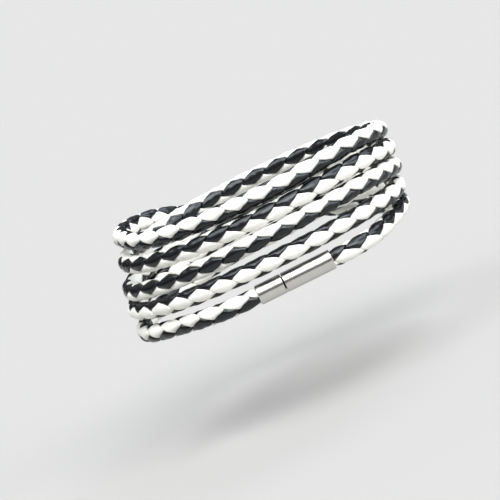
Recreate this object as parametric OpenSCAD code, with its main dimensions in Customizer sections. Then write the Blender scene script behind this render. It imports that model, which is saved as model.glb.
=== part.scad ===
// Wrap bracelet: one round braided cord, five times round the wrist, closed by a steel tube clasp.
// The wrist runs along Z, with the elbow up. X is the wide way across the wrist.
// The clasp is at the front, at -Y.
// The origin is in the middle of the hollow that the wrist fills.

/* [Cord] */
// Diameter of the braided cord
cord_d = 4.5; // [3.8:0.1:4.5]
// How much thinner the cord's ends are, where the clasp presses them together
end_press = 0.4; // [0.4:0.1:0.8]
// Clear room between the last pass and the laps that it crosses
cross_gap = 0.5; // [0.5:0.1:1]

/* [Wrap] */
// Half width of the widest lap, from the middle of the hollow to the middle of the cord
wrap_half_w = 36.5; // [36:0.1:40]
// Half depth of the widest lap, measured the same way
wrap_half_d = 26.9; // [26:0.1:30]
// Height of the widest lap
widest_z = -4; // [-4:0.5:-3]
// How much both halves have shrunk 10 mm above or below the widest lap
wrap_barrel = 1.1; // [0.8:0.1:1.1]
// Shift of a lap along +X for each millimetre up toward the elbow
wrap_lean = 0.205; // [0.19:0.005:0.21]

/* [Clasp] */
// Outside diameter of the steel tube
clasp_d = 5; // [5:0.1:6]
// Length of the closed clasp
clasp_l = 20; // [18:0.5:22]
// Length of the short half, up to the middle of the seam
plug_l = 6.9; // [6:0.1:8]
// Middle of the clasp along X
clasp_x = 1.2; // [0:0.1:2.4]
// Width of the seam between the halves
seam_w = 0.2; // [0.1:0.05:0.5]
// Bevel on the rims
rim_bevel = 0.15; // [0.1:0.05:0.25]
// Room round the cord in its bore
cord_play = 0.1; // [0.05:0.05:0.15]
// Depth of each cord bore
cord_bore_depth = 3.6; // [3:0.1:4]
// Diameter of the hidden post
post_d = 3; // [2:0.1:3.2]
// Reach of the post past the seam
post_l = 3.2; // [2:0.1:4]
// Room round the post and at its tip
post_play = 0.1; // [0.05:0.05:0.2]

/* [Hidden] */

// Height of the cord's middle at six places along each lap, in the order that the cord takes them.
// It leaves the clasp to the left, climbs lap by lap toward the elbow, and comes back down across the back.
// Columns: back right, right, front right, front, front left, left
LAP_AT_CLASP = [-13.5, -12.5, -12.6, -12.3, -12.4, -13.0];
LAPS = [
    LAP_AT_CLASP,
    [-8.7, -7.8, -6.7, -6.1, -6.5, -6.9],
    [-3.9, -3.1, -0.3, -0.1, -1.2, -2.1],
    [0.9, 1.7, 4.7, 4.6, 4.5, 4.8],
    [5.8, 6.6, 9.5, 9.3, 9.4, 10.2],
    LAP_AT_CLASP,
];
FRONT = 3;
LEFT = 5;
// Height of the last pass on its way down, at the back left and at the back
LAST_BACK = [8.5, -2.5];

// A place along the wrap is counted in stations, eight to a lap.
// Station 0 is the front of the first lap, inside the clasp.
stations_per_lap = 8;
last_station = 5 * stations_per_lap;
rings_per_station = 2;
cord_sides = 12;

// The last pass rides over the others between these stations, and ramps up before and down after
cross_up_from = 33.8;
cross_up_to = 34.9;
cross_down_from = 36.7;
cross_down_to = 38.4;
cross_lift = cord_d + cross_gap;

clasp_z = LAP_AT_CLASP[FRONT];
clasp_y = -(half_d_at(clasp_z) + (clasp_d - cord_d) / 2);
plug_end_x = clasp_x - clasp_l / 2;
socket_end_x = clasp_x + clasp_l / 2;
seam_x = plug_end_x + plug_l;
cord_end_d = cord_d - end_press;
cord_bore_d = cord_end_d + 2 * cord_play;

// Next to the clasp the cord is straight for the lead, then bends over this much more of the width.
// All of this lies within so many stations of the clasp.
lead_l = 2;
bend_in_l = 18;
clasp_stations = 2;

steel_color = [0.80, 0.79, 0.77];
cord_color = [0.55, 0.55, 0.54];
round_fn = 96;
// How far a cutter runs past a face, and the post into its half
past = 1;

function mix(a, b, f) = a + (b - a) * f;
function ease(f) = let (c = min(1, max(0, f))) c * c * (3 - 2 * c);
function unit(v) = v / norm(v);

// Half width and half depth of the oval that a lap follows at a height
function shrink_at(z) = wrap_barrel * pow((z - widest_z) / 10, 2);
function half_w_at(z) = wrap_half_w - shrink_at(z);
function half_d_at(z) = wrap_half_d - shrink_at(z);

// Height at a whole station: from the table, and climbing evenly across the back left
function station_height(i) =
    let (
        s = min(last_station, max(0, i)) + FRONT,
        lap = floor(s / stations_per_lap),
        place = s - lap * stations_per_lap
    )
    place <= LEFT ? LAPS[lap][place]
    : lap == len(LAPS) - 2 ? LAST_BACK[place - LEFT - 1]
    : mix(LAPS[lap][LEFT], LAPS[lap + 1][0], (place - LEFT) / (stations_per_lap - LEFT));

// Height anywhere along the wrap, on a smooth curve through the stations
function height_at(s) =
    let (
        i = floor(s),
        f = s - i,
        h0 = station_height(i - 1),
        h1 = station_height(i),
        h2 = station_height(i + 1),
        h3 = station_height(i + 2)
    )
    h1 + f / 2 * (h2 - h0 + f * (2 * h0 - 5 * h1 + 4 * h2 - h3 + f * (3 * h1 - h0 - 3 * h2 + h3)));

// How far the cord stands off the laps under it
function lift_at(s) =
    cross_lift * ease((s - cross_up_from) / (cross_up_to - cross_up_from))
        * (1 - ease((s - cross_down_from) / (cross_down_to - cross_down_from)));

// Direction square to the oval of the wrap, in plan
function outward(p) =
    unit([(p.x - wrap_lean * p.z) / pow(half_w_at(p.z), 2), p.y / pow(half_d_at(p.z), 2), 0]);

// 1 where the cord is in line with the clasp, 0 where it lies on the wrap
function straight_at(s, x) =
    min(s, last_station - s) < clasp_stations
        ? 1 - ease((abs(x - clasp_x) - clasp_l / 2 - lead_l) / bend_in_l)
        : 0;

// Middle of the cord at a station
function cord_point(s) =
    let (
        angle = -90 - 360 * s / stations_per_lap,
        z = height_at(s),
        on_oval = [wrap_lean * z + half_w_at(z) * cos(angle), half_d_at(z) * sin(angle), z],
        on_wrap = on_oval + lift_at(s) * outward(on_oval)
    )
    mix(on_wrap, [on_wrap.x, clasp_y, clasp_z], straight_at(s, on_wrap.x));

// One place on the line of the clasp
function in_line(x) = [x, clasp_y, clasp_z];

// From the bottom of one bore, round all the laps, to the bottom of the other
cord_path = concat(
    [
        in_line(plug_end_x + cord_bore_depth - cord_play),
        in_line(plug_end_x),
        in_line(plug_end_x - lead_l)
    ],
    [for (i = [1 : rings_per_station * last_station - 2]) cord_point(i / rings_per_station)],
    [
        in_line(socket_end_x + lead_l),
        in_line(socket_end_x),
        in_line(socket_end_x - cord_bore_depth + cord_play)
    ]
);

// At each end the rings at the bottom of the bore and at its rim are pressed thinner
pressed_rings = 2;

// One ring of the tube, square to the path
function cord_ring(i) =
    let (
        from_end = min(i, len(cord_path) - 1 - i),
        r = (from_end < pressed_rings ? cord_end_d : cord_d) / 2,
        here = cord_path[i],
        along = unit(cord_path[min(len(cord_path) - 1, i + 1)] - cord_path[max(0, i - 1)]),
        out = outward(here),
        side = unit(out - (out * along) * along),
        up = cross(along, side)
    )
    [for (k = [0 : cord_sides - 1])
        here + r * (cos(360 * k / cord_sides) * side + sin(360 * k / cord_sides) * up)];

// The whole cord: five laps, with both ends in the clasp
module braided_cord() {
    rings = len(cord_path);
    points = [for (i = [0 : rings - 1]) each cord_ring(i)];
    near_end = [for (k = [0 : cord_sides - 1]) k];
    far_end = [for (k = [cord_sides - 1 : -1 : 0]) (rings - 1) * cord_sides + k];
    walls = [for (i = [0 : rings - 2], k = [0 : cord_sides - 1])
        let (
            a = i * cord_sides + k,
            b = i * cord_sides + (k + 1) % cord_sides
        )
        each [[a, a + cord_sides, b + cord_sides], [a, b + cord_sides, b]]];
    color(cord_color)
        polyhedron(points, concat([near_end, far_end], walls));
}

// A steel cylinder along X from x = 0, with both rims bevelled
module steel_barrel(length) {
    r = clasp_d / 2;
    rotate([0, 90, 0])
        rotate_extrude($fn = round_fn)
            polygon([
                [0, 0],
                [r - rim_bevel, 0],
                [r, rim_bevel],
                [r, length - rim_bevel],
                [r - rim_bevel, length],
                [0, length]
            ]);
}

// A round bar along X
module bar(from_x, to_x, d) {
    translate([from_x, 0, 0])
        rotate([0, 90, 0])
            cylinder(h = to_x - from_x, d = d, $fn = round_fn);
}

// Long half of the clasp, with a bore for the cord at one end and one for the post at the other
module clasp_socket() {
    start_x = seam_x + seam_w / 2;
    color(steel_color)
        translate([0, clasp_y, clasp_z])
            difference() {
                translate([start_x, 0, 0]) steel_barrel(socket_end_x - start_x);
                bar(socket_end_x - cord_bore_depth, socket_end_x + past, cord_bore_d);
                bar(start_x - past, seam_x + post_l + post_play, post_d + 2 * post_play);
            }
}

// Short half of the clasp, with a bore for the cord and the post that holds it in the long half
module clasp_plug() {
    end_x = seam_x - seam_w / 2;
    color(steel_color)
        translate([0, clasp_y, clasp_z])
            difference() {
                union() {
                    translate([plug_end_x, 0, 0]) steel_barrel(end_x - plug_end_x);
                    bar(end_x - past, seam_x + post_l, post_d);
                }
                bar(plug_end_x - past, plug_end_x + cord_bore_depth, cord_bore_d);
            }
}

braided_cord();
clasp_socket();
clasp_plug();
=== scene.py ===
import math

import bpy
import numpy as np
from mathutils import Matrix, Vector


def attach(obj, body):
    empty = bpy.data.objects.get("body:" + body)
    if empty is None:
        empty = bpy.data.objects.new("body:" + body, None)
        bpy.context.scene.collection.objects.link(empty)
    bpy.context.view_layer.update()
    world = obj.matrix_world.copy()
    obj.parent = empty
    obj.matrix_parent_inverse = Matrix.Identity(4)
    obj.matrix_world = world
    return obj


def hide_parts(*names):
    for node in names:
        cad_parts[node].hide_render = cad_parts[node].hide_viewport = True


# Wrap bracelet: the plain cord of the part becomes a round braid of two white and two black leather strands,
# and the clasp's halves get a brushed steel. The route and the braid are worked out in mm.

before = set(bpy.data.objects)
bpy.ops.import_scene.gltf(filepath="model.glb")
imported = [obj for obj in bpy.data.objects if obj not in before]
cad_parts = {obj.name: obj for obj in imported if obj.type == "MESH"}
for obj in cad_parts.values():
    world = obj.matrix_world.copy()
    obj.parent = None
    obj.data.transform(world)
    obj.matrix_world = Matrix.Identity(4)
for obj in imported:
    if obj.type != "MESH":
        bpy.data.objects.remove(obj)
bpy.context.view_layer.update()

MM = 0.001

# The cord's route, as in the part's source
CORD_D = 4.5
# How much thinner the cord's ends are, where the clasp presses them together
END_PRESS = 0.4
# Clear room between the last pass and the laps that it crosses
CROSS_GAP = 0.5
# Half width and half depth of the widest lap, to the middle of the cord
WRAP_HALF_W = 36.5
WRAP_HALF_D = 26.9
WIDEST_Z = -4.0
# Both halves have shrunk by the barrel at its reach above and below the widest lap
WRAP_BARREL = 1.1
BARREL_REACH = 10.0
# Shift of a lap along +X for each millimetre up toward the elbow
WRAP_LEAN = 0.205
CLASP_D = 5.0
CLASP_L = 20.0
CLASP_X = 1.2
# Length of the clasp's short half, up to the middle of the seam
PLUG_L = 6.9
CORD_BORE_DEPTH = 3.6
CORD_PLAY = 0.1
# How far the cord's ends reach into their bores
CORD_IN_BORE = CORD_BORE_DEPTH - CORD_PLAY
# Next to the clasp the cord is straight for the lead, then bends onto the wrist over this much more width
LEAD_L = 2.0
BEND_IN_L = 18.0

# Height of the cord's middle at six places along each lap, in the order that the cord takes them.
# Columns: back right, right, front right, front, front left, left
LAP_AT_CLASP = [-13.5, -12.5, -12.6, -12.3, -12.4, -13.0]
LAPS = [
    LAP_AT_CLASP,
    [-8.7, -7.8, -6.7, -6.1, -6.5, -6.9],
    [-3.9, -3.1, -0.3, -0.1, -1.2, -2.1],
    [0.9, 1.7, 4.7, 4.6, 4.5, 4.8],
    [5.8, 6.6, 9.5, 9.3, 9.4, 10.2],
    LAP_AT_CLASP,
]
FRONT = 3
LEFT = 5
# Height of the last pass on its way down, at the back left and at the back
LAST_BACK = [8.5, -2.5]

# A place along the wrap is counted in stations, eight to a lap.
# Station 0 is the front of the first lap, inside the clasp.
PER_LAP = 8
LAST = 5 * PER_LAP
# The clasp and its leads lie within so many stations of either end, and the bend after them within so many
LEAD_STATIONS = 1
BEND_STATIONS = 2
# The last pass rides over the others between these stations, and ramps up before and down after
CROSS_UP_FROM = 33.8
CROSS_UP_TO = 34.9
CROSS_DOWN_FROM = 36.7
CROSS_DOWN_TO = 38.4
CROSS_LIFT = CORD_D + CROSS_GAP
# The route is first worked out at this many points
SAMPLES_PER_STATION = 400
SAMPLES_PER_LEAD = 60


def ease(f):
    """0 up to 0, 1 from 1 on, and a smooth rise between them."""
    c = np.clip(f, 0.0, 1.0)
    return c * c * (3 - 2 * c)


def unit(v):
    """Directions of an array of vectors."""
    return v / np.linalg.norm(v, axis=1)[:, None]


def half_sizes(z):
    """Half width and half depth of the oval that a lap follows at a height."""
    shrink = WRAP_BARREL * ((z - WIDEST_Z) / BARREL_REACH) ** 2
    return WRAP_HALF_W - shrink, WRAP_HALF_D - shrink


CLASP_Z = LAP_AT_CLASP[FRONT]
CLASP_Y = -(half_sizes(CLASP_Z)[1] + (CLASP_D - CORD_D) / 2)
PLUG_END = CLASP_X - CLASP_L / 2
SOCKET_END = CLASP_X + CLASP_L / 2
SEAM_X = PLUG_END + PLUG_L


def station_height(i):
    """Height at a whole station: from the table, and climbing evenly across the back left."""
    s = min(LAST, max(0, i)) + FRONT
    lap, place = divmod(s, PER_LAP)
    if place <= LEFT:
        return LAPS[lap][place]
    if lap == len(LAPS) - 2:
        return LAST_BACK[place - LEFT - 1]
    f = (place - LEFT) / (PER_LAP - LEFT)
    return LAPS[lap][LEFT] * (1 - f) + LAPS[lap + 1][0] * f


# From one station before the first to two past the last
HEIGHTS = np.array([station_height(i) for i in range(-1, LAST + 3)])


def height_at(s):
    """Height anywhere along the wrap, on a smooth curve through the stations."""
    i = np.floor(s).astype(int)
    f = s - i
    h0, h1, h2, h3 = (HEIGHTS[i + k] for k in range(4))
    slope = h2 - h0
    bend = 2 * h0 - 5 * h1 + 4 * h2 - h3
    twist = 3 * h1 - h0 - 3 * h2 + h3
    return h1 + f / 2 * (slope + f * (bend + f * twist))


def lift_at(s):
    """How far the cord stands off the laps under it."""
    up = ease((s - CROSS_UP_FROM) / (CROSS_UP_TO - CROSS_UP_FROM))
    down = ease((s - CROSS_DOWN_FROM) / (CROSS_DOWN_TO - CROSS_DOWN_FROM))
    return CROSS_LIFT * up * (1 - down)


def straight_at(s, x):
    """1 where the cord is in line with the clasp, 0 where it lies on the wrist."""
    near = np.minimum(s, LAST - s) < BEND_STATIONS
    return near * (1 - ease((np.abs(x - CLASP_X) - CLASP_L / 2 - LEAD_L) / BEND_IN_L))


def in_line(x):
    """Points on the line of the clasp."""
    return np.stack([x, 0 * x + CLASP_Y, 0 * x + CLASP_Z], 1)


def outward(points):
    """Directions square to the oval of the wrap, in plan."""
    x, y, z = points.T
    half_w, half_d = half_sizes(z)
    return unit(np.stack([(x - WRAP_LEAN * z) / half_w ** 2, y / half_d ** 2, 0 * z], 1))


def cord_points(s):
    """The middle of the cord at an array of stations."""
    angle = np.radians(-90 - 360 / PER_LAP * s)
    z = height_at(s)
    half_w, half_d = half_sizes(z)
    on_oval = np.stack([WRAP_LEAN * z + half_w * np.cos(angle), half_d * np.sin(angle), z], 1)
    on_wrap = on_oval + lift_at(s)[:, None] * outward(on_oval)
    x = on_wrap[:, 0]
    return on_wrap + (in_line(x) - on_wrap) * straight_at(s, x)[:, None]


def cord_path(step):
    """Evenly spaced points along the whole cord: the length up to each, the point and its station."""
    s = np.linspace(0, LAST, LAST * SAMPLES_PER_STATION + 1)
    on_wrap = cord_points(s)
    x = on_wrap[:, 0]
    clear = np.minimum(s, LAST - s) > LEAD_STATIONS
    past_plug = (s < LAST / 2) & (x < PLUG_END - LEAD_L)
    past_socket = (s > LAST / 2) & (x > SOCKET_END + LEAD_L)
    keep = clear | past_plug | past_socket
    s = s[keep]
    first_lead = in_line(np.linspace(PLUG_END + CORD_IN_BORE, PLUG_END - LEAD_L, SAMPLES_PER_LEAD))
    last_lead = in_line(np.linspace(SOCKET_END + LEAD_L, SOCKET_END - CORD_IN_BORE, SAMPLES_PER_LEAD))
    points = np.concatenate([first_lead, on_wrap[keep], last_lead])
    sampled = np.pad(s, SAMPLES_PER_LEAD, mode="edge")
    steps = np.linalg.norm(np.diff(points, axis=0), axis=1)
    run = np.concatenate([[0], np.cumsum(steps)])
    lengths = np.linspace(0, run[-1], int(run[-1] / step) + 1)
    path = np.stack([np.interp(lengths, run, points[:, k]) for k in range(3)], 1)
    stations = np.interp(lengths, run, sampled)
    return lengths, path, stations


# The braid. A strand's phase is 0 in the middle of a leaf, where the strand is on top, and grows by 180
# degrees from leaf to leaf. Its angle goes round the cord's middle, and is 0 in the middle of that leaf.

# From one leaf to the next along a column
LEAF_PITCH = 6.4
RINGS_PER_LEAF = 18
# Thickness of a strand, and how far it goes down under another
STRAND_T = 1.0
# Rounding of a strand's edges, and how much lower they are than its middle
EDGE_R = 0.42
CROWN = 0.16
# Share of the rounding that is lost where a strand is under another
ROUNDING_LOST = 0.5
# A strand is all the way down this far inside another strand's edge, and starts down this far outside it
DIP_IN = 0.90
DIP_OUT = 0.75
# How far the leaves' middles stand over the plain cord
PROUD = 0.05
RADIUS = CORD_D / 2 + PROUD
# The strands stay clear of the cord's middle by this much, on their outer and inner sides
OUTER_R_MIN = 0.2
INNER_R_MIN = 0.12
# Half of a strand's span where it is on top, and how far it turns per degree of phase there
HALF_SPAN = 68.3
TURN_RATE = 0.702
# A strand on top covers the others up to this phase from the middle of its leaf, and fades out over this
COVER_REACH = 95.0
COVER_FADE = 30.0
# The white strands' half span is this much more, and the black strands' this much less
WHITE_WIDER = 2.0
# The leaves' blunt corners are rounded by this angle, over this much phase to each side
CORNER_CUT = 11.0
CORNER_REACH = 60.0
# Widths square to a strand are taken at this slant, and have so many mm to a degree round the cord
STRAND_SLANT = 0.706
DEG_MM = RADIUS * math.pi / 180 * math.cos(math.atan(STRAND_SLANT))
# A strand's leading edge goes under at this phase, when it's this far short of a quarter turn
EDGE_PHASE = 11.8
EDGE_ANGLE = 13.4
# Angle of a strand's leading edge against its phase: on top, hidden, then beside its twin
LEAD_PHASE = np.array([EDGE_PHASE - 90, EDGE_PHASE, 90 - EDGE_PHASE, 90 + EDGE_PHASE])
LEAD_ANGLE = np.array([EDGE_ANGLE, 90 - EDGE_ANGLE, 180 - EDGE_ANGLE, 180 + EDGE_ANGLE])
# The corners of that run are smoothed by a mean over this much phase to each side, at so many places
LEAD_SMOOTHING = 8
SMOOTHING_PLACES = 9
# A little unevenness: two waves along each strand, as a share of the radius and in radians per mm
LONG_WAVE = 0.02
LONG_WAVE_RATE = 0.93
SHORT_WAVE = 0.015
SHORT_WAVE_RATE = 2.31

# Places of the points of a strand's section, from -1 at one edge to 1 at the other, closest at the edges
MIDDLE_V = [0.125, 0.25, 0.375, 0.5, 0.625]
EDGE_V = [0.75, 0.84, 0.91, 0.955, 0.985, 1]
HALF_V = np.array(MIDDLE_V + EDGE_V)
OUTER_V = np.concatenate([-HALF_V[::-1], [0], HALF_V])
INNER_V = np.array([0.93, 0.65, 0.33, 0, -0.33, -0.65, -0.93])
SECTION_V = np.concatenate([OUTER_V, INNER_V])
ON_INNER_SIDE = np.arange(len(SECTION_V)) >= len(OUTER_V)

# How the braid lies along the cord, read off the photograph at five places on each pass of the front.
# TURNS: how far a white column is turned from outward toward the elbow, in degrees.
# SLIPS: how far the leaves have slipped along the cord, in degrees of phase.
# Columns: right end, front right, front, front left, left end
PLACES = [-1.65, -1.0, 0.0, 1.0, 1.75]
TURNS = [
    [50, 50, 50, 50, 30],
    [20, 10, -10, -10, -10],
    [40, 35, 60, 115, 140],
    [185, 155, 140, 125, 105],
    [45, 45, 40, 50, 50],
    [-50, -35, -35, -35, -35],
]
SLIPS = [
    [95, 95, 95, 95, 125],
    [200, 215, 190, 235, 280],
    [295, 340, 350, 385, 410],
    [400, 430, 425, 465, 505],
    [445, 470, 460, 510, 510],
    [600, 525, 520, 520, 520],
]
# Both are smoothed over so many rings, about three leaves. The number is odd.
SMOOTHED_RINGS = 57


def lead_angle(phase):
    """Angle of a strand's leading edge, with corners."""
    turns = np.floor((phase - LEAD_PHASE[0]) / 180)
    return np.interp(phase - 180 * turns, LEAD_PHASE, LEAD_ANGLE) + 180 * turns


def smooth_lead(phase):
    """Angle of a strand's leading edge, smoothed."""
    spread = np.linspace(-LEAD_SMOOTHING, LEAD_SMOOTHING, SMOOTHING_PLACES)
    return sum(lead_angle(phase + step) for step in spread) / SMOOTHING_PLACES


def corner_cut(phase):
    """How far a strand's leading edge is drawn in, against the phase from the middle of its leaf."""
    from_corner = np.clip((phase - EDGE_PHASE) / CORNER_REACH, -1, 1)
    return CORNER_CUT * np.cos(np.pi / 2 * from_corner) ** 2


def dip(outside):
    """1 well under another strand, 0 well clear of it, against the distance outside its edge."""
    return 1 - ease((outside + DIP_IN) / (DIP_IN + DIP_OUT))


def cover_at(phase, angle, wider):
    """How deep each point of a strand lies under the other colour's strands, from 0 on top to 1."""
    cover = np.zeros_like(angle)
    # The other colour's strand is on top at 90 degrees of phase and every half turn from there
    nearest = np.round((phase - 90) / 180)
    for leaf in (nearest - 1, nearest, nearest + 1):
        other = phase - 90 - 180 * leaf
        from_middle = angle - (90 + 180 * leaf - TURN_RATE * other)
        cut = np.where(from_middle < 0, corner_cut(other), corner_cut(-other))
        outside = (np.abs(from_middle) - HALF_SPAN + wider + cut) * DEG_MM
        reach = 1 - ease((np.abs(other) - COVER_REACH) / COVER_FADE)
        cover = np.maximum(cover, dip(outside) * reach)
    return cover


def edge_rounding(from_edge):
    """How much a strand's rounded edge takes off it, against the distance from the edge."""
    short = np.clip(EDGE_R - from_edge, 0, EDGE_R)
    return EDGE_R - np.sqrt(EDGE_R ** 2 - short ** 2)


def strand_section(phase, wider):
    """One strand's sections at an array of phases: each point's angle in degrees, radius and cover.

    The strand is wider by so many degrees at each side, and the other colour's strands are narrower.
    """
    v = SECTION_V[None, :]
    phase = phase[:, None]
    from_leaf = phase - 180 * np.round(phase / 180)
    lead = smooth_lead(phase) + wider - corner_cut(from_leaf)
    trail = -smooth_lead(-phase) - wider + corner_cut(-from_leaf)
    angle = trail + (lead - trail) * (v + 1) / 2
    cover = cover_at(phase, angle, wider)
    from_edge = (1 - np.abs(v)) * (lead - trail) / 2 * DEG_MM
    middle = RADIUS - STRAND_T * cover
    rounding = edge_rounding(from_edge) * (1 - ROUNDING_LOST * cover)
    outer = middle - rounding - CROWN * v ** 2 * (1 - cover)
    inner = middle - STRAND_T * dip(-from_edge)
    r = np.where(ON_INNER_SIDE, np.maximum(inner, INNER_R_MIN), np.maximum(outer, OUTER_R_MIN))
    return angle, r, cover


def lie(stations, table):
    """A table's value at each ring, smoothed."""
    at = [PER_LAP * lap + place for lap in range(len(table)) for place in PLACES]
    values = np.interp(stations, at, [value for row in table for value in row])
    kernel = np.hanning(SMOOTHED_RINGS)
    padded = np.pad(values, SMOOTHED_RINGS // 2, mode="edge")
    return np.convolve(padded, kernel / kernel.sum(), mode="valid")


def across_cord(lengths, path):
    """Two directions square to the cord at each ring: outward from the wrist, and toward the elbow."""
    along = unit(np.gradient(path, lengths, axis=0))
    out = outward(path)
    out = unit(out - (out * along).sum(1)[:, None] * along)
    return out, np.cross(along, out)


def press_at_clasp(lengths):
    """Share of its full thickness that the cord has: less in the clasp, growing to all over the lead."""
    pressed = (CORD_D - END_PRESS) / (2 * RADIUS)
    from_bore = np.minimum(lengths, lengths[-1] - lengths) - CORD_IN_BORE
    return pressed + (1 - pressed) * ease(from_bore / LEAD_L)


def unevenness(lengths, side, offset):
    """Share by which a strand's radius differs along the cord."""
    long_wave = LONG_WAVE * np.sin(lengths * LONG_WAVE_RATE + offset)
    return long_wave + SHORT_WAVE * np.sin(lengths * SHORT_WAVE_RATE + 2 * offset + side)


def strand_points(lengths, path, stations, side, offset):
    """A strand's points by ring and place in its section, and how deep each lies under another strand."""
    phase = 180 * lengths / LEAF_PITCH + lie(stations, SLIPS)
    if side > 0:
        angle, r, cover = strand_section(phase, WHITE_WIDER)
        angle = angle + offset
    else:
        # The black strands turn the other way, a quarter turn on
        angle, r, cover = strand_section(phase - 90, -WHITE_WIDER)
        angle = 90 - angle + offset
    angle = np.radians(angle + lie(stations, TURNS)[:, None])[:, :, None]
    r = r * (1 + unevenness(lengths, side, offset)[:, None] * (1 - cover)) * press_at_clasp(lengths)[:, None]
    out, up = across_cord(lengths, path)
    around = np.cos(angle) * out[:, None, :] + np.sin(angle) * up[:, None, :]
    return path[:, None, :] + r[:, :, None] * around, cover


def strand_faces(rings, sides, side):
    """Four-cornered faces from ring to ring, and one face over each end."""
    start = np.arange(rings - 1)[:, None] * sides
    a = start + np.arange(sides)
    b = start + (np.arange(sides) + 1) % sides
    walls = np.stack([a, a + sides, b + sides, b], 2).reshape(-1, 4).tolist()
    near_end = list(range(sides))
    far_end = list(range((rings - 1) * sides, rings * sides))[::-1]
    faces = walls + [near_end, far_end]
    return faces if side > 0 else [face[::-1] for face in faces]


def set_strand_uv(mesh, lengths):
    """A UV map in metres: across the strand, at one width for all of it, and along the cord."""
    sides = len(SECTION_V)
    uv_width = 0.004
    corner = np.zeros(len(mesh.loops), np.int32)
    mesh.loops.foreach_get("vertex_index", corner)
    across = (SECTION_V[corner % sides] + 1) / 2 * uv_width
    along = lengths[corner // sides] * MM
    layer = mesh.uv_layers.new(name="UVMap")
    layer.data.foreach_set("uv", np.stack([across, along], 1).ravel().astype(np.float32))


def set_shade_and_edge_marks(mesh, cover):
    """Marks for the leather's colour: red is how deep a point lies, which sets the painted shade where a
    strand dips under another, and green how near it is to the strand's edge.
    """
    deep = cover.reshape(-1)
    edge = np.tile(np.abs(SECTION_V), len(cover))
    marks = np.stack([deep, edge, 0 * deep, 0 * deep + 1], 1)
    layer = mesh.color_attributes.new(name="depth", type="FLOAT_COLOR", domain="POINT")
    layer.data.foreach_set("color", marks.ravel().astype(np.float32))


def add_object(name, data):
    obj = bpy.data.objects.new(name, data)
    bpy.context.scene.collection.objects.link(obj)
    return obj


def make_strand(name, lengths, path, stations, side, offset):
    """One strand: side is 1 for the white pair and -1 for the black pair, which turn opposite ways.

    Offset is the strand's start round the cord, in degrees.
    """
    points, cover = strand_points(lengths, path, stations, side, offset)
    rings, sides = cover.shape
    mesh = bpy.data.meshes.new(name)
    mesh.from_pydata((points.reshape(-1, 3) * MM).tolist(), [], strand_faces(rings, sides, side))
    mesh.update()
    mesh.shade_smooth()
    set_strand_uv(mesh, lengths)
    set_shade_and_edge_marks(mesh, cover)
    return add_object(name, mesh)


def new_material(name):
    mat = bpy.data.materials.new(name)
    mat.use_nodes = True
    return mat, mat.node_tree, mat.node_tree.nodes["Principled BSDF"]


def set_input(tree, node, name, value):
    """Links a node's input to another node's output, or gives it a plain value."""
    if isinstance(value, bpy.types.NodeSocket):
        tree.links.new(value, node.inputs[name])
    else:
        node.inputs[name].default_value = value


def add(tree, kind, **values):
    """A new node. A value named in_ and an input's name goes to that input, and any other to the node."""
    node = tree.nodes.new(kind)
    for key, value in values.items():
        if key.startswith("in_"):
            set_input(tree, node, key[3:].replace("_", " "), value)
        else:
            setattr(node, key, value)
    return node


def ramp(tree, value, stops):
    """The colour at a value, between stops that each have a place and a colour."""
    node = add(tree, "ShaderNodeValToRGB", in_Fac=value)
    while len(node.color_ramp.elements) < len(stops):
        node.color_ramp.elements.new(0.5)
    for element, (at, color) in zip(node.color_ramp.elements, stops):
        element.position = at
        element.color = (*color, 1)
    return node.outputs["Color"]


def blend(tree, factor, low, high):
    """The colour low where the factor is 0, and high where it is 1."""
    node = add(tree, "ShaderNodeMix", data_type="RGBA", in_Factor=factor, in_A=low, in_B=high)
    return node.outputs["Result"]


def mapped(tree, value, **limits):
    """A value stretched from the limits that it comes from to those that it goes to."""
    return add(tree, "ShaderNodeMapRange", in_Value=value, **limits).outputs["Result"]


def calculate(tree, operation, *terms):
    """The result of one sum on sockets or plain numbers."""
    node = add(tree, "ShaderNodeMath", operation=operation)
    for i, term in enumerate(terms):
        set_input(tree, node, i, term)
    return node.outputs["Value"]


def noise(tree, coords, scale, detail, roughness=0.5):
    node = add(tree, "ShaderNodeTexNoise", in_Vector=coords, in_Scale=scale, in_Detail=detail,
               in_Roughness=roughness)
    return node.outputs["Fac"]


def bump(tree, height, strength, distance):
    node = add(tree, "ShaderNodeBump", in_Strength=strength, in_Distance=distance, in_Height=height)
    return node.outputs["Normal"]


# The leather's broad patches are darker than its base colour by this factor
PATCH_TONE = 0.94
# The fine noise takes this much off the roughness at its lowest, and adds this much at its highest
ROUGH_LESS = 0.06
ROUGH_MORE = 0.08
# Share of the cells in the grain, beside the fine noise
CELL_SHARE = 0.5


def leather_color(tree, coords, base, edge, deep):
    """Leather's colour: uneven over a few leaves, changed at a strand's edges, and darkened where it dips
    under another strand, as painted shade.
    """
    depth = add(tree, "ShaderNodeVertexColor", layer_name="depth").outputs["Color"]
    marks = add(tree, "ShaderNodeSeparateColor", in_Color=depth)
    broad = noise(tree, coords, scale=120.0, detail=2.0)
    tone = ramp(tree, broad, [(0.3, [c * PATCH_TONE for c in base]), (0.7, base)])
    at_edge = mapped(tree, marks.outputs["Green"], in_From_Min=0.8, in_From_Max=1.0)
    # Painted shade: the colour goes to the deep colour where the strand lies under another
    painted_shade_at_depth = mapped(tree, marks.outputs["Red"], in_From_Min=0.1, in_From_Max=0.75)
    return blend(tree, painted_shade_at_depth, blend(tree, at_edge, tone, (*edge, 1)), (*deep, 1))


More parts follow.
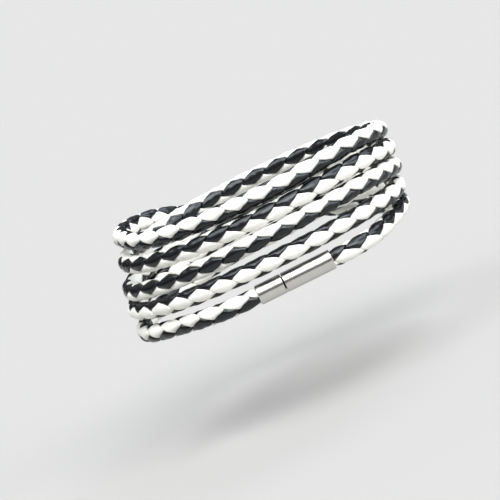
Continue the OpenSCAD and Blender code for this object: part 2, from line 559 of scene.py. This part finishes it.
def leather(name, base, edge, deep, rough, specular, tint=(1, 1, 1)):
    """Smooth leather with a fine grain, whose colours are its top, its edges, and painted shade where it
    dips under another strand.
    """
    mat, tree, shader = new_material(name)
    coords = add(tree, "ShaderNodeTexCoord").outputs["Object"]
    set_input(tree, shader, "Base Color", leather_color(tree, coords, base, edge, deep))
    fine = noise(tree, coords, scale=900.0, detail=4.0, roughness=0.6)
    roughness = mapped(tree, fine, in_To_Min=rough - ROUGH_LESS, in_To_Max=rough + ROUGH_MORE)
    set_input(tree, shader, "Roughness", roughness)
    set_input(tree, shader, "Specular IOR Level", specular)
    set_input(tree, shader, "Specular Tint", (*tint, 1))
    cells = add(tree, "ShaderNodeTexVoronoi", in_Vector=coords, in_Scale=2600.0).outputs["Distance"]
    grain = calculate(tree, "MULTIPLY_ADD", cells, CELL_SHARE, fine)
    set_input(tree, shader, "Normal", bump(tree, grain, strength=0.25, distance=0.08 * MM))
    return mat


def white_leather():
    return leather(
        "white_leather",
        base=(0.81, 0.80, 0.745),
        edge=(0.80, 0.79, 0.725),
        # The deep colour is painted shade, darker and warmer, where the strand dips under another
        deep=(0.74, 0.72, 0.645),
        rough=0.36,
        specular=0.35,
    )


def black_leather():
    return leather(
        "black_leather",
        base=(0.004, 0.004, 0.005),
        edge=(0.004, 0.004, 0.005),
        # The deep colour is painted shade, darker still, where the strand dips under another
        deep=(0.001, 0.001, 0.001),
        rough=0.25,
        specular=0.52,
        tint=(0.91, 0.98, 1.0),
    )


# The brush lines run round the clasp, so their pattern is fine along it and long across it
BRUSH_SCALE = (14000.0, 300.0, 300.0)
STEEL_TONES = [(0.3, (0.63, 0.61, 0.575)), (0.7, (0.71, 0.69, 0.655))]
# The groove at the seam is dark up to this far from its middle, and bright from this far on
GROOVE_COLOR = (0.015, 0.013, 0.018, 1)
GROOVE_DARK = 0.16
GROOVE_BRIGHT = 0.26


def clasp_steel():
    """Polished steel with fine brush lines, dark in the groove at the clasp's seam."""
    mat, tree, shader = new_material("clasp_steel")
    coords = add(tree, "ShaderNodeTexCoord").outputs["Object"]
    stretched = add(tree, "ShaderNodeMapping", in_Vector=coords, in_Scale=BRUSH_SCALE).outputs["Vector"]
    lines = noise(tree, stretched, scale=1.0, detail=2.0)
    x = add(tree, "ShaderNodeSeparateXYZ", in_Vector=coords).outputs["X"]
    from_seam = calculate(tree, "ABSOLUTE", calculate(tree, "SUBTRACT", x, SEAM_X * MM))
    clear = mapped(tree, from_seam, in_From_Min=GROOVE_DARK * MM, in_From_Max=GROOVE_BRIGHT * MM)
    color = blend(tree, clear, GROOVE_COLOR, ramp(tree, lines, STEEL_TONES))
    set_input(tree, shader, "Base Color", color)
    set_input(tree, shader, "Metallic", 1.0)
    set_input(tree, shader, "Roughness", mapped(tree, lines, in_To_Min=0.20, in_To_Max=0.28))
    set_input(tree, shader, "Normal", bump(tree, lines, strength=0.06, distance=0.01 * MM))
    return mat


# Camera, fitted to the photograph: in degrees, in mm, and its lens in pixels of a frame this wide
CAM_ELEVATION = 10.9
CAM_ROLL = -26.3
CAM_DISTANCE = 600.0
CAM_AIM_RIGHT = -2.3
CAM_AIM_UP = -8.2
CAM_FOCAL = 2386.5
FRAME_PX = 500
SENSOR_W = 36.0


def make_camera():
    """Makes the camera, and gives its directions: right, up, and back from the bracelet toward it."""
    elevation = math.radians(CAM_ELEVATION)
    roll = math.radians(CAM_ROLL)
    back = Vector((0, -math.cos(elevation), math.sin(elevation)))
    level = Vector((1, 0, 0))
    upright = back.cross(level)
    right = math.cos(roll) * level + math.sin(roll) * upright
    up = math.cos(roll) * upright - math.sin(roll) * level
    data = bpy.data.cameras.new("camera")
    data.sensor_width = SENSOR_W
    data.lens = CAM_FOCAL / FRAME_PX * SENSOR_W
    data.clip_start = 0.01
    camera = add_object("camera", data)
    place = (back * CAM_DISTANCE + right * CAM_AIM_RIGHT + up * CAM_AIM_UP) * MM
    camera.matrix_world = Matrix.Translation(place) @ Matrix((right, up, back)).transposed().to_4x4()
    bpy.context.scene.camera = camera
    return right, up, back


def soft_light(name, toward, strength, spread, color=(1, 1, 1), mirrored=True):
    """A far light in the direction toward, softened by a spread in degrees."""
    data = bpy.data.lights.new(name, "SUN")
    data.energy = strength
    data.angle = math.radians(spread)
    data.color = color
    light = add_object(name, data)
    light.rotation_euler = toward.to_track_quat("Z", "Y").to_euler()
    light.visible_glossy = mirrored


# The main light is this many degrees above the camera
SOFTBOX_UP = 46
SOFTBOX_COLOR = (0.98, 0.99, 1.0)
SIDE_COLOR = (0.94, 0.97, 1.0)
OVERHEAD_COLOR = (0.80, 0.88, 1.0)


def make_lights(right, up, back):
    """Soft studio lights, placed by the camera's directions, and one that lights the far side."""
    above = math.radians(SOFTBOX_UP)
    main = back * math.cos(above) + up * math.sin(above)
    soft_light("softbox", main, strength=3.0, spread=44, color=SOFTBOX_COLOR)
    soft_light("fill", back * 0.5 - right * 0.8 - up * 0.1, strength=0.9, spread=100, mirrored=False)
    soft_light("left", up * 0.75 - right * 0.7 + back * 0.45, strength=1.6, spread=40, color=SIDE_COLOR)
    soft_light("overhead", up - back * 0.09, strength=2.0, spread=50, color=OVERHEAD_COLOR)
    soft_light("side", right * 0.75 + up * 0.45 + back * 0.5, strength=2.3, spread=50, color=SIDE_COLOR)
    soft_light("back", Vector((0, 0.85, 0.5)), strength=1.5, spread=100, mirrored=False)


# The studio all round. Columns: height, from 0 at the horizon to 1 overhead, and the colour there
STUDIO_TONES = [
    (0.0, (0.06, 0.05, 0.07)),
    (0.31, (0.06, 0.05, 0.07)),
    (0.38, (0.30, 0.31, 0.33)),
    (0.6, (0.28, 0.29, 0.31)),
    (0.9, (0.19, 0.20, 0.22)),
]


def make_world():
    """A dim studio, for the leather and the steel to mirror."""
    world = bpy.data.worlds.new("studio")
    world.use_nodes = True
    tree = world.node_tree
    direction = add(tree, "ShaderNodeTexCoord").outputs["Generated"]
    height = add(tree, "ShaderNodeSeparateXYZ", in_Vector=direction).outputs["Z"]
    set_input(tree, tree.nodes["Background"], "Color", ramp(tree, height, STUDIO_TONES))
    bpy.context.scene.world = world


# Height of the floor, so far down that the bracelet's shadow is soft, and half of its side, in metres
FLOOR_Z = -0.045
FLOOR_HALF = 4.0


def make_floor():
    """A plain pale floor without gloss."""
    low, high = -FLOOR_HALF, FLOOR_HALF
    corners = [(low, low, FLOOR_Z), (high, low, FLOOR_Z), (high, high, FLOOR_Z), (low, high, FLOOR_Z)]
    mesh = bpy.data.meshes.new("floor")
    mesh.from_pydata(corners, [], [(0, 1, 2, 3)])
    obj = add_object("floor", mesh)
    mat, tree, shader = new_material("floor_white")
    set_input(tree, shader, "Base Color", (0.342, 0.333, 0.317, 1))
    set_input(tree, shader, "Roughness", 0.9)
    set_input(tree, shader, "Specular IOR Level", 0.0)
    mesh.materials.append(mat)
    return obj


# The studio
camera_right, camera_up, camera_back = make_camera()
make_lights(camera_right, camera_up, camera_back)
make_world()
bpy.context.scene.view_settings.view_transform = "Standard"
floor = make_floor()

# The braid
white = white_leather()
black = black_leather()
# Columns: name, side, offset, material
STRANDS = [
    ("white_strand_a", 1, 0, white),
    ("white_strand_b", 1, 180, white),
    ("black_strand_a", -1, 0, black),
    ("black_strand_b", -1, 180, black),
]
lengths, path, stations = cord_path(LEAF_PITCH / RINGS_PER_LEAF)
for name, side, offset, mat in STRANDS:
    strand = make_strand(name, lengths, path, stations, side, offset)
    strand.data.materials.append(mat)
    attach(strand, "root")
    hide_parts("braided_cord")

# The clasp
steel_mat = clasp_steel()
for node in ("clasp_socket", "clasp_plug"):
    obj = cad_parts[node]
    obj.data.materials.clear()
    obj.data.materials.append(steel_mat)
